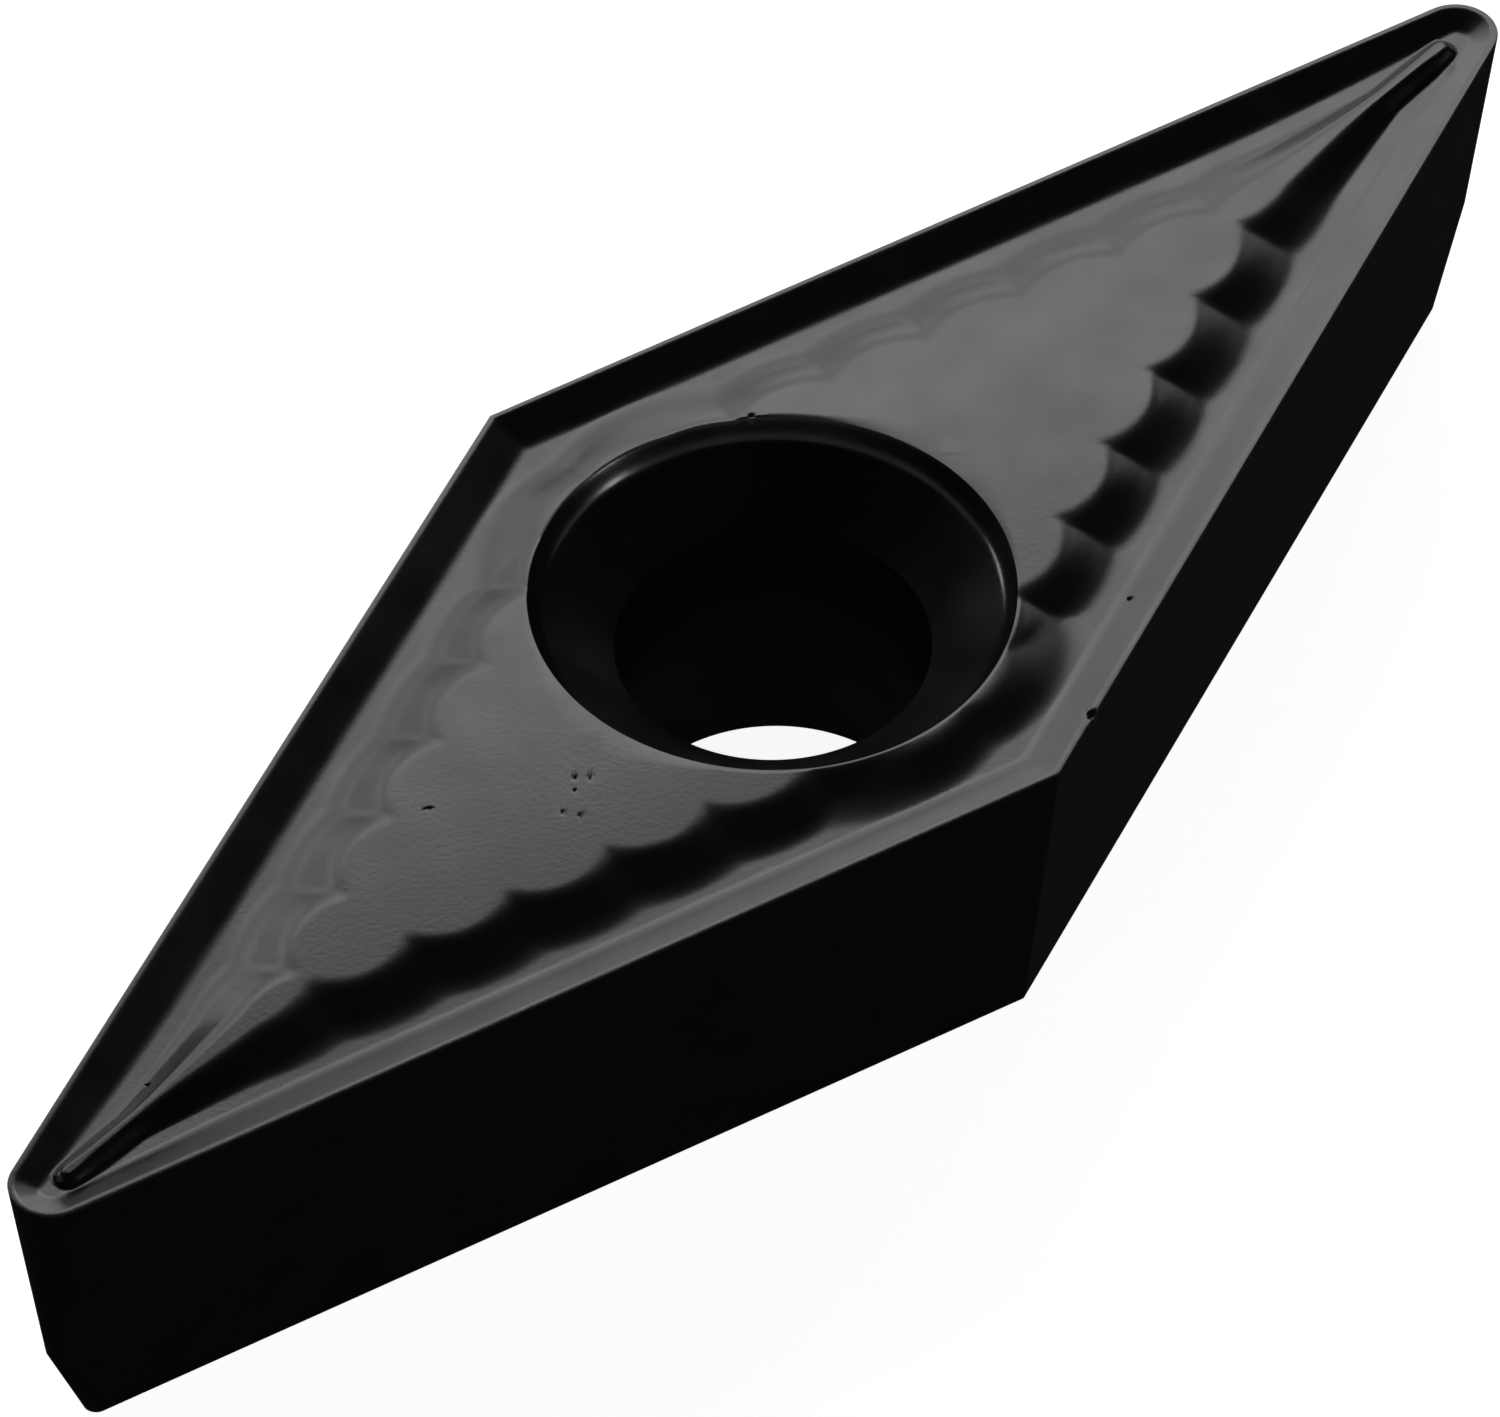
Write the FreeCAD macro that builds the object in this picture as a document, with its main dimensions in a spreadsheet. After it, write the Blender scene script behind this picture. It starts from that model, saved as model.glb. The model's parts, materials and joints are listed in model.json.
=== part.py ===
import FreeCAD
import Part
import Sketcher
import math
import os

# Carbide turning insert: a 35 degree rhombus with 7 degree flanks, a countersunk
# screw hole and, on its one cutting face, a moulded chipbreaker. It is pressed and
# sintered in one piece, so it is one solid.
#
# The origin is the centre of the bottom face. +X runs along the long diagonal to one
# cutting nose, +Z along the screw hole to the cutting face. Lengths are in mm and
# angles in degrees.

NODE = "insert_body"

# Driving dimensions: name, value and what it measures.
SIZES = [
    ("inscribed_circle", 6.35, "circle that touches the four cutting edges"),
    ("thickness", 3.18, "from the bottom face to the cutting edges"),
    ("nose_angle", 35.0, "between the two cutting edges at a nose"),
    ("clearance_angle", 7.0, "lean of the flanks under the cutting edges"),
    ("nose_radius", 0.38, "cutting nose, at the edge"),
    ("foot_radius", 0.12, "least radius that the nose flank narrows to"),
    ("bore_diameter", 2.8, "hole for the clamping screw"),
    ("rim_diameter", 4.33, "mouth of the countersink in the plateau"),
    ("seat_diameter", 4.1, "where the lip ends and the screw seat starts"),
    ("lip_drop", 0.165, "height of the lip, below the plateau"),
    ("seat_depth", 0.65, "end of the screw seat, below the cutting edges"),
    ("land_width", 0.067, "flat land behind the cutting edge"),
    ("shoulder_run", 3.65, "where the groove starts to narrow, back from the nose"),
    ("rake_width", 0.35, "from the cutting edge to the end of the rake"),
    ("rake_depth", 0.12, "depth at the end of the rake"),
    ("rake_nose_run", 0.27, "the same end, back from the nose"),
    ("rake_nose_radius", 0.13, "its round at the nose"),
    ("floor_width", 0.53, "from the cutting edge to the groove floor"),
    ("floor_depth", 0.14, "depth of the groove floor"),
    ("floor_nose_run", 0.4, "start of the floor, back from the nose"),
    ("floor_nose_radius", 0.08, "its round at the nose"),
    ("plateau_rise", 0.035, "plateau above the cutting edges"),
    ("wall_angle", 27.0, "slope of the scalloped wall"),
    ("wall_root", 0.04, "how far the raised forms reach under the floor"),
    ("core_setback", 1.265, "from the cutting edge to the core of the plateau"),
    ("core_nose_radius", 0.07, "round ends of the core"),
    ("lobe_setback", 1.02, "from the cutting edge to the crest of a lobe"),
    ("lobe_radius", 0.77, "crest of a lobe, in plan"),
    ("lobe_nose_angle", 45.0, "sweep of a lobe from its crest, on the nose side"),
    ("lobe_corner_angle", 75.0, "the same, on the side of the obtuse corner"),
    ("lobe_pitch", 1.0, "spacing of the lobes along the edge"),
    ("lobe_count", 7, "lobes along each side, from the obtuse corner"),
    ("ridge_run", 0.505, "tip of a nose ridge, back from the nose"),
    ("ridge_tip_radius", 0.065, "round tip of a ridge"),
    ("ridge_half_width", 0.145, "half width of a ridge at its shoulder"),
    ("ridge_foot_run", 0.365, "foot of the tip, back from the nose"),
    ("ridge_foot_radius", 0.105, "round of the foot"),
    ("ridge_foot_half_width", 0.73, "half width of the foot at the shoulder"),
]

# Expressions that the features share, all in terms of the sheet.
CIRCLE_RADIUS = "(Sizes.inscribed_circle / 2)"
HALF_ANGLE = "(Sizes.nose_angle / 2 * 1deg)"
SINE, COSINE, TANGENT = (f"{name}({HALF_ANGLE})" for name in ("sin", "cos", "tan"))
NOSE_TIP = f"(({CIRCLE_RADIUS} - Sizes.nose_radius) / {SINE} + Sizes.nose_radius)"
LEAN = "tan(Sizes.clearance_angle * 1deg)"
NOSE_NARROWING = "(Sizes.nose_radius - Sizes.foot_radius)"
FLOOR_LEVEL = "(Sizes.thickness - Sizes.floor_depth)"
ROOT_LEVEL = f"({FLOOR_LEVEL} - Sizes.wall_root)"
PLATEAU_LEVEL = "(Sizes.thickness + Sizes.plateau_rise)"
WALL_SPREAD = f"(({PLATEAU_LEVEL} - {ROOT_LEVEL}) / tan(Sizes.wall_angle * 1deg))"
SHOULDER_REACH = f"({NOSE_TIP} - Sizes.shoulder_run)"
SEAT_LEVEL = "(Sizes.thickness - Sizes.seat_depth)"

# Handles that sketch constraints use for the origin, the axes and a line's ends.
ORIGIN = (-1, 1)
X_AXIS, Y_AXIS = -1, -2
START, END, CENTRE = range(1, 4)


def fill_sheet():
    """Write each size as a plain number with its alias, and its meaning beside it."""
    for row, (alias, size, meaning) in enumerate(SIZES, start=1):
        sheet.set(f"A{row}", alias)
        sheet.set(f"B{row}", str(size))
        sheet.set(f"C{row}", meaning)
        sheet.setAlias(f"B{row}", alias)
    doc.recompute()


def value(expression):
    """The number that an expression over the sheet gives."""
    result = sheet.evalExpression(expression)
    return float(getattr(result, "Value", result))


def side_height(setback, reach):
    """Height in plan of the line parallel to a cutting edge, at a reach along X."""
    return f"(({CIRCLE_RADIUS} - {setback}) / {COSINE} - {reach} * {TANGENT})"


def new_sketch(name, plane_role):
    """Sketch of the body on one of its own origin planes."""
    sketch = body.newObject("Sketcher::SketchObject", name)
    planes = body.Origin.OriginFeatures
    plane = next(feature for feature in planes if feature.Role == plane_role)
    sketch.AttachmentSupport = (plane, [""])
    sketch.MapMode = "FlatFace"
    return sketch


def hold(sketch, kind, *elements):
    """Constrain elements of a sketch, with no size."""
    sketch.addConstraint(Sketcher.Constraint(kind, *elements))


def measure(sketch, kind, elements, expression):
    """Constrain elements of a sketch to the size that an expression gives."""
    constraint = sketch.addConstraint(Sketcher.Constraint(kind, *elements, value(expression)))
    sketch.setExpression(f"Constraints[{constraint}]", expression)


def touch_angle(start, centre_x, radius):
    """Angle of a nose arc's end: the line from start to it grazes a circle on the X axis."""
    run, rise = start.x - centre_x, start.y
    return math.atan2(rise, run) - math.acos(radius / math.hypot(run, rise))


def rhombus(name, level, tip, radius, corner, shoulder=None):
    """Rhombus sketch at a level, with its obtuse corners on Y and rounded noses on X.

    tip is the reach of a nose and corner the height of an obtuse corner. A shoulder is
    the reach and the height of one more corner on each side. All of them, and the
    level, are expressions.
    """
    sketch = new_sketch(name, "XY_Plane")
    sketch.setExpression("AttachmentOffset.Base.z", level)
    quarter = [FreeCAD.Vector(0, value(corner), 0)]
    if shoulder:
        quarter.append(FreeCAD.Vector(value(shoulder[0]), value(shoulder[1]), 0))
    nose = value(radius)
    centre_x = value(tip) - nose
    angle = touch_angle(quarter[-1], centre_x, nose)
    quarter.append(FreeCAD.Vector(centre_x + nose * math.cos(angle), nose * math.sin(angle), 0))

    sides = {}
    for x_sign, y_sign in ((1, 1), (-1, 1), (-1, -1), (1, -1)):
        points = [FreeCAD.Vector(p.x * x_sign, p.y * y_sign, 0) for p in quarter]
        lines = [Part.LineSegment(a, b) for a, b in zip(points, points[1:])]
        sides[x_sign, y_sign] = [sketch.addGeometry(line) for line in lines]
    arcs = {}
    for x_sign, middle in ((1, 0), (-1, math.pi)):
        centre = FreeCAD.Vector(centre_x * x_sign, 0, 0)
        circle = Part.Circle(centre, FreeCAD.Vector(0, 0, 1), nose)
        arc = Part.ArcOfCircle(circle, middle - angle, middle + angle)
        arcs[x_sign] = sketch.addGeometry(arc)

    for (x_sign, y_sign), lines in sides.items():
        for first, second in zip(lines, lines[1:]):
            hold(sketch, "Coincident", first, END, second, START)
        arc_end = END if x_sign == y_sign else START
        hold(sketch, "Tangent", arcs[x_sign], arc_end, lines[-1], END)
    for y_sign in (1, -1):
        hold(sketch, "Coincident", sides[1, y_sign][0], START, sides[-1, y_sign][0], START)
    first = sides[1, 1][0]
    hold(sketch, "PointOnObject", first, START, Y_AXIS)
    hold(sketch, "Symmetric", first, START, sides[1, -1][0], START, *ORIGIN)
    measure(sketch, "DistanceY", (*ORIGIN, first, START), corner)
    if shoulder:
        measure(sketch, "DistanceX", (*ORIGIN, first, END), shoulder[0])
        measure(sketch, "DistanceY", (*ORIGIN, first, END), shoulder[1])
        hold(sketch, "Symmetric", first, END, sides[-1, 1][0], END, Y_AXIS)
        hold(sketch, "Symmetric", first, END, sides[1, -1][0], END, X_AXIS)
        hold(sketch, "Symmetric", first, END, sides[-1, -1][0], END, *ORIGIN)
    hold(sketch, "PointOnObject", arcs[1], CENTRE, X_AXIS)
    hold(sketch, "Symmetric", arcs[1], CENTRE, arcs[-1], CENTRE, *ORIGIN)
    hold(sketch, "Equal", arcs[1], arcs[-1])
    measure(sketch, "Radius", (arcs[1],), radius)
    measure(sketch, "DistanceX", (*ORIGIN, arcs[1], CENTRE), f"{tip} - {radius}")
    return sketch


def parallel_rhombus(name, level, setback, radius, shouldered=False):
    """Rhombus whose sides all run parallel to the cutting edges, at a setback from them."""
    tip = f"(({CIRCLE_RADIUS} - {setback} - {radius}) / {SINE} + {radius})"
    shoulder = (SHOULDER_REACH, side_height(setback, SHOULDER_REACH)) if shouldered else None
    return rhombus(name, level, tip, radius, side_height(setback, "0"), shoulder)


def groove_rhombus(name, level, setback, nose_run, radius):
    """Rhombus parallel to the edges as far as the shoulder, which then narrows to the nose."""
    shoulder = (SHOULDER_REACH, side_height(setback, SHOULDER_REACH))
    tip = f"({NOSE_TIP} - {nose_run})"
    return rhombus(name, level, tip, radius, side_height(setback, "0"), shoulder)


def polygon(sketch, corners):
    """Closed outline of straight lines in a sketch, each corner held at its own place.

    A corner is the expressions of its reach and its height.
    """
    points = [FreeCAD.Vector(value(reach), value(height), 0) for reach, height in corners]
    pairs = zip(points, points[1:] + points[:1])
    lines = [sketch.addGeometry(Part.LineSegment(start, end)) for start, end in pairs]
    for before, line, (reach, height) in zip([lines[-1]] + lines, lines, corners):
        hold(sketch, "Coincident", before, END, line, START)
        measure(sketch, "DistanceX", (*ORIGIN, line, START), reach)
        measure(sketch, "DistanceY", (*ORIGIN, line, START), height)


def loft(kind, name, sections):
    """Straight-walled loft through sketches, Additive or Subtractive."""
    feature = body.newObject(f"PartDesign::{kind}Loft", name)
    feature.Profile = (sections[0], [""])
    feature.Sections = [(section, [""]) for section in sections[1:]]
    feature.Ruled = True
    doc.recompute()
    return feature


# Blank: flanks that lean in under the cutting edges. The flank round a nose is a cone
# that narrows to the foot radius and keeps that radius from there down.
def make_blank():
    kink_level = f"(Sizes.thickness - {NOSE_NARROWING} / {LEAN})"
    radius = "Sizes.foot_radius"
    cutting = parallel_rhombus("cutting_outline", "Sizes.thickness", "0", "Sizes.nose_radius")
    kink = parallel_rhombus("kink_outline", kink_level, NOSE_NARROWING, radius)
    foot = parallel_rhombus("foot_outline", "0", f"(Sizes.thickness * {LEAN})", radius)
    loft("Additive", "flank_blank", [cutting, kink, foot])


# Chip groove: a flat land behind the edge, the rake down from it, and a gentler slope
# to the floor. Past its shoulders it narrows and comes closer to the edge.
def make_groove():
    land_radius = "(Sizes.nose_radius - Sizes.land_width)"
    land = parallel_rhombus(
        "land_outline", "Sizes.thickness", "Sizes.land_width", land_radius, shouldered=True
    )
    rake = groove_rhombus(
        "rake_outline",
        "(Sizes.thickness - Sizes.rake_depth)",
        "Sizes.rake_width",
        "Sizes.rake_nose_run",
        "Sizes.rake_nose_radius",
    )
    floor = groove_rhombus(
        "floor_outline",
        FLOOR_LEVEL,
        "Sizes.floor_width",
        "Sizes.floor_nose_run",
        "Sizes.floor_nose_radius",
    )
    loft("Subtractive", "chip_groove", [land, rake, floor])


# Core of the plateau, behind the scallops. Its wall has the slope of the lobes.
def make_core():
    root_setback = f"(Sizes.core_setback - {WALL_SPREAD})"
    radius = "Sizes.core_nose_radius"
    root = parallel_rhombus("core_root_outline", ROOT_LEVEL, root_setback, radius)
    top = parallel_rhombus("core_outline", PLATEAU_LEVEL, "Sizes.core_setback", radius)
    loft("Additive", "plateau_core", [root, top])


# Nose ridges: a slim ridge runs from the plateau to each nose and ends in a round tip.
def make_ridges():
    root = rhombus(
        "ridge_root_outline",
        ROOT_LEVEL,
        f"({NOSE_TIP} - Sizes.ridge_foot_run)",
        "Sizes.ridge_foot_radius",
        "Sizes.ridge_foot_half_width",
        (SHOULDER_REACH, "Sizes.ridge_foot_half_width"),
    )
    top = rhombus(
        "ridge_outline",
        PLATEAU_LEVEL,
        f"({NOSE_TIP} - Sizes.ridge_run)",
        "Sizes.ridge_tip_radius",
        "Sizes.ridge_half_width",
        (SHOULDER_REACH, "Sizes.ridge_half_width"),
    )
    loft("Additive", "nose_ridges", [root, top])


# Lobes of the scalloped wall. Each is part of a cone that stands on the floor, with its
# round front towards the cutting edge. The first is at the obtuse corner, and the rest
# repeat it along the side.
def make_first_lobe():
    sketch = new_sketch("lobe_section", "XZ_Plane")
    back = f"({CIRCLE_RADIUS} - Sizes.lobe_setback - Sizes.lobe_radius)"
    aside = f"({CIRCLE_RADIUS} - Sizes.lobe_setback) * {TANGENT}"
    turn = FreeCAD.Rotation(FreeCAD.Vector(0, -1, 0), value(f"90deg - {HALF_ANGLE}"))
    sketch.AttachmentOffset = FreeCAD.Placement(FreeCAD.Vector(0, 0, 0), turn)
    sketch.setExpression("AttachmentOffset.Base.x", f"{back} * {SINE} - {aside} * {COSINE}")
    sketch.setExpression("AttachmentOffset.Base.z", f"{back} * {COSINE} + {aside} * {SINE}")
    sketch.setExpression("AttachmentOffset.Rotation.Angle", f"90deg - {HALF_ANGLE}")
    foot_radius = f"(Sizes.lobe_radius + {WALL_SPREAD})"
    polygon(
        sketch,
        [
            ("0", ROOT_LEVEL),
            (foot_radius, ROOT_LEVEL),
            ("Sizes.lobe_radius", PLATEAU_LEVEL),
            ("0", PLATEAU_LEVEL),
        ],
    )
    lobe = body.newObject("PartDesign::Revolution", "first_lobe")
    lobe.Profile = (sketch, [""])
    lobe.ReferenceAxis = (sketch, ["V_Axis"])
    lobe.Type = "TwoAngles"
    lobe.setExpression("Angle", "Sizes.lobe_nose_angle")
    lobe.setExpression("Angle2", "Sizes.lobe_corner_angle")
    doc.recompute()
    return sketch, lobe


def make_lobes():
    sketch, lobe = make_first_lobe()
    lobes = body.newObject("PartDesign::MultiTransform", "scalloped_wall")
    lobes.Originals = [lobe]
    row = body.newObject("PartDesign::LinearPattern", "lobe_row")
    row.Direction = (sketch, ["N_Axis"])
    row.Reversed = True
    row.Mode = "Spacing"
    row.setExpression("Offset", "Sizes.lobe_pitch")
    row.setExpression("Occurrences", "Sizes.lobe_count")
    mirrors = []
    planes = body.Origin.OriginFeatures
    for name, role in (("lobes_across", "YZ_Plane"), ("lobes_behind", "XZ_Plane")):
        mirror = body.newObject("PartDesign::Mirrored", name)
        plane = next(feature for feature in planes if feature.Role == role)
        mirror.MirrorPlane = (plane, [""])
        mirrors.append(mirror)
    lobes.Transformations = [row] + mirrors
    body.Tip = lobes
    doc.recompute()


# Screw hole: the bore, the conical seat of the screw head, and a steep lip that cuts
# through the plateau and, at the obtuse corners, through the scalloped wall.
def make_hole():
    sketch = new_sketch("hole_section", "XZ_Plane")
    bore, seat, rim = (f"(Sizes.{name}_diameter / 2)" for name in ("bore", "seat", "rim"))
    above = f"({PLATEAU_LEVEL} + Sizes.lip_drop)"
    below = "(-Sizes.lip_drop)"
    polygon(
        sketch,
        [
            ("0", below),
            (bore, below),
            (bore, SEAT_LEVEL),
            (seat, f"({PLATEAU_LEVEL} - Sizes.lip_drop)"),
            (rim, PLATEAU_LEVEL),
            (rim, above),
            ("0", above),
        ],
    )
    hole = body.newObject("PartDesign::Groove", "screw_hole")
    hole.Profile = (sketch, [""])
    hole.ReferenceAxis = (sketch, ["V_Axis"])
    hole.Angle = 360
    body.Tip = hole
    doc.recompute()


def check_objects():
    """Stop if an object failed to recompute or the insert isn't one sound solid."""
    for item in doc.Objects:
        failed = {"Invalid", "Error"} & set(item.State)
        if failed:
            raise RuntimeError(f"{item.Name} is {sorted(failed)}")
    shape = body.Shape
    if shape.isNull() or not shape.isValid() or len(shape.Solids) != 1:
        raise RuntimeError(f"{NODE} isn't one sound solid")


doc = FreeCAD.newDocument("carbide_insert")
sheet = doc.addObject("Spreadsheet::Sheet", "Sizes")
fill_sheet()
body = doc.addObject("PartDesign::Body", NODE)
body.Label = NODE
make_blank()
make_groove()
make_core()
make_ridges()
make_lobes()
make_hole()
doc.recompute()
check_objects()

os.makedirs("parts", exist_ok=True)
body.Shape.exportStep(f"parts/{NODE}.step")
print(f"{NODE}: {body.Shape.Volume:.3f} mm3, {len(body.Shape.Faces)} faces")
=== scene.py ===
"""Looks of the carbide turning insert: the coated piece, its floor, soft light and camera.

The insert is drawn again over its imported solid, with the soft transitions of a pressed and
coated surface: a honed cutting edge, a rounded chip groove, scallops, nose ridges, the lip
and seat of the screw hole, and the wear that one real insert shows. Shapes are worked out
in millimetres and turned to metres at the end.
"""

import json
import logging
import math
from dataclasses import dataclass, replace
from enum import Enum
from typing import Callable, Sequence

import bmesh
import bpy
from mathutils import Matrix, Vector


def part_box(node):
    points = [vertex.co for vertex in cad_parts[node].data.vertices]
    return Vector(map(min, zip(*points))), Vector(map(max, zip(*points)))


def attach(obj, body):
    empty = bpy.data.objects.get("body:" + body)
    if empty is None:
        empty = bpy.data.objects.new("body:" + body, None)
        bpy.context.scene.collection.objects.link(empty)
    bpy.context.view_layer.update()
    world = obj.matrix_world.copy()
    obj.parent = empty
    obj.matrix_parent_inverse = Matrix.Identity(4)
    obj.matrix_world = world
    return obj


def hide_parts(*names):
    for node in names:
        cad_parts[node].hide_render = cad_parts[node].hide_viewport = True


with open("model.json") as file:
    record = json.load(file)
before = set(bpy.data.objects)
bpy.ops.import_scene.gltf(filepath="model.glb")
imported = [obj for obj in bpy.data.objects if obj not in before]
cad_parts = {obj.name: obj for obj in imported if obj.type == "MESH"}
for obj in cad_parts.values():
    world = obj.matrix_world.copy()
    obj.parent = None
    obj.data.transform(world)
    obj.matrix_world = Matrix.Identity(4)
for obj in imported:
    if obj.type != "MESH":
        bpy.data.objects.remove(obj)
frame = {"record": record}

logging.basicConfig(level=logging.INFO, format="%(levelname)s %(message)s")
log = logging.getLogger("insert")

BODY = "root"
NODE = "insert_body"
MM = 0.001
# Points within this distance, in millimetres, become one.
MERGE_DISTANCE = 1e-5
# An edge stays sharp where its two faces turn by more than this.
SHARP_EDGE = math.radians(40)
WHITE = (1.0, 1.0, 1.0, 1.0)


def smooth_max(first: float, second: float, blend: float) -> float:
    """Take the larger of two heights, with a round fillet where they meet.

    Args:
        first: One height.
        second: The other height.
        blend: Difference of heights within which the fillet runs.

    Returns:
        The filleted height.
    """
    overlap = max(blend - abs(first - second), 0.0) / blend
    return max(first, second) + overlap * overlap * blend / 4


def smooth_min(first: float, second: float, blend: float) -> float:
    """Take the smaller of two heights, with a round edge where they meet."""
    return -smooth_max(-first, -second, blend)


def ease(value: float, start: float, end: float) -> float:
    """Ease from 0 at start to 1 at end, with no corner at either."""
    share = min(max((value - start) / (end - start), 0.0), 1.0)
    return share * share * (3 - 2 * share)


def mix(first: float, second: float, share: float) -> float:
    """Go from the first number to the second by a share."""
    return first + (second - first) * share


def towards(azimuth: float, elevation: float) -> Vector:
    """Turn two angles, in degrees, into a direction.

    Args:
        azimuth: Angle round the insert, from +X to +Y.
        elevation: Angle over the floor.

    Returns:
        The direction, of length 1.
    """
    turn, rise = math.radians(azimuth), math.radians(elevation)
    level = math.cos(rise)
    return Vector((level * math.cos(turn), level * math.sin(turn), math.sin(rise)))


@dataclass(frozen=True)
class InsertPlan:
    """Plan and flanks of the insert: a rhombus with its rounded noses on X.

    A quarter of it is described, from the obtuse corner on Y to the nose on X.
    """

    circle_radius: float
    nose_radius: float
    thickness: float
    half_angle: float = math.radians(17.5)
    clearance: float = math.radians(7)
    foot_radius: float = 0.12
    side_share: float = 0.93

    @classmethod
    def from_frame(cls, plateau_rise: float) -> "InsertPlan":
        """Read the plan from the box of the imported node.

        Args:
            plateau_rise: Height of the plateau, the node's top, above the cutting edges.

        Returns:
            The plan whose noses, corners and top are those of the node.
        """
        _, high = (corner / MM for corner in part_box(NODE))
        sine = math.sin(cls.half_angle)
        circle_radius = high.y * math.cos(cls.half_angle)
        nose_radius = (circle_radius / sine - high.x) / (1 / sine - 1)
        return cls(circle_radius, nose_radius, high.z - plateau_rise)

    @property
    def inward(self) -> Vector:
        """Direction from the side of the quarter straight to the screw hole."""
        return Vector((-math.sin(self.half_angle), -math.cos(self.half_angle)))

    @property
    def along(self) -> Vector:
        """Direction along the side of the quarter, towards the nose."""
        return Vector((math.cos(self.half_angle), -math.sin(self.half_angle)))

    def setback(self, drop: float) -> float:
        """Give how far the flank has leaned in, at a drop below the cutting edge."""
        return drop * math.tan(self.clearance)

    def nose_centre(self, radius: float, setback: float = 0.0) -> float:
        """Give the reach of the centre of a nose arc."""
        return (self.circle_radius - setback - radius) / math.sin(self.half_angle)

    def outline(self, share: float, drop: float) -> tuple[Vector, Vector]:
        """Find a point on the outline of the quarter.

        Args:
            share: Place from the obtuse corner, 0, to the tip of the nose, 1.
            drop: Height below the cutting edge.

        Returns:
            The point and the direction from it straight inwards, both in plan.
        """
        setback = self.setback(drop)
        radius = max(self.nose_radius - setback, self.foot_radius)
        centre = Vector((self.nose_centre(radius, setback), 0))
        if share < self.side_share:
            corner = Vector((0, (self.circle_radius - setback) / math.cos(self.half_angle)))
            return corner.lerp(centre - self.inward * radius, share / self.side_share), self.inward
        angle = (math.pi / 2 - self.half_angle) * (1 - share) / (1 - self.side_share)
        inward = Vector((-math.cos(angle), -math.sin(angle)))
        return centre - inward * radius, inward

    def depth(self, place: Vector) -> float:
        """Give how far inside the cutting edge a place lies.

        Args:
            place: A place of the quarter, in plan.

        Returns:
            The distance from the cutting edge, negative outside it.
        """
        from_centre = place - Vector((self.nose_centre(self.nose_radius), 0))
        if from_centre.dot(self.along) > 0:
            return self.nose_radius - from_centre.length
        return self.circle_radius + place.dot(self.inward)


@dataclass(frozen=True)
class ChipGroove:
    """Groove behind the cutting edge: the hone, the land, the rake and the floor.

    The rake keeps its slope and narrows towards the nose, so the floor rises there.
    """

    hone_radius: float = 0.009
    land_width: float = 0.057
    rake_width: float = 0.39
    rake_slope: float = math.tan(math.radians(21.5))
    narrowing_start: float = 6.5
    narrowing: float = 0.015
    land_round: float = 0.006
    floor_round: float = 0.022
    nose_floor_round: float = 0.014
    nose_reach: float = 9.3

    def floor(self, reach: float) -> float:
        """Give the height of the floor, at a distance from the hole along the long diagonal."""
        narrowing = self.narrowing * max(reach - self.narrowing_start, 0.0) ** 2
        return -self.rake_slope * (self.rake_width - narrowing - self.land_width)

    def height(self, depth: float, reach: float) -> float:
        """Give the height of the groove over the cutting edge.

        Args:
            depth: Distance inside the cutting edge.
            reach: Distance from the screw hole's axis along the long diagonal.

        Returns:
            The height, 0 on the land and negative in the groove.
        """
        rake = smooth_min(0.0, (self.land_width - depth) * self.rake_slope, self.land_round)
        to_nose = ease(reach, self.narrowing_start, self.nose_reach)
        blend = mix(self.floor_round, self.nose_floor_round, to_nose)
        return smooth_max(rake, self.floor(reach), blend) + self.hone(depth)

    def hone(self, depth: float) -> float:
        """Give the drop of the honed edge, a quarter of a circle."""
        short = max(self.hone_radius - max(depth, 0.0), 0.0)
        return math.sqrt(self.hone_radius**2 - short**2) - self.hone_radius if short else 0.0


@dataclass(frozen=True)
class Lobe:
    """One lobe of the scalloped wall: a leaning cone that grows flatter towards its foot.

    The centre is that of its crest arc, and back points from its front to the plateau.
    """

    centre: Vector
    back: Vector
    crest_radius: float
    slope: float
    growth: float

    def fall(self, place: Vector) -> float:
        """Give the fall of the lobe's surface from the plateau.

        Args:
            place: A place of the quarter, in plan.

        Returns:
            The fall, which is negative behind the crest.
        """
        lean = self.growth - 1 / self.slope
        offset = place - self.centre
        bend = self.growth**2 - lean**2
        half = lean * offset.dot(self.back) + self.crest_radius * self.growth
        outside = offset.length_squared - self.crest_radius**2
        return (math.sqrt(max(half**2 + bend * outside, 0.0)) - half) / bend


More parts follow.
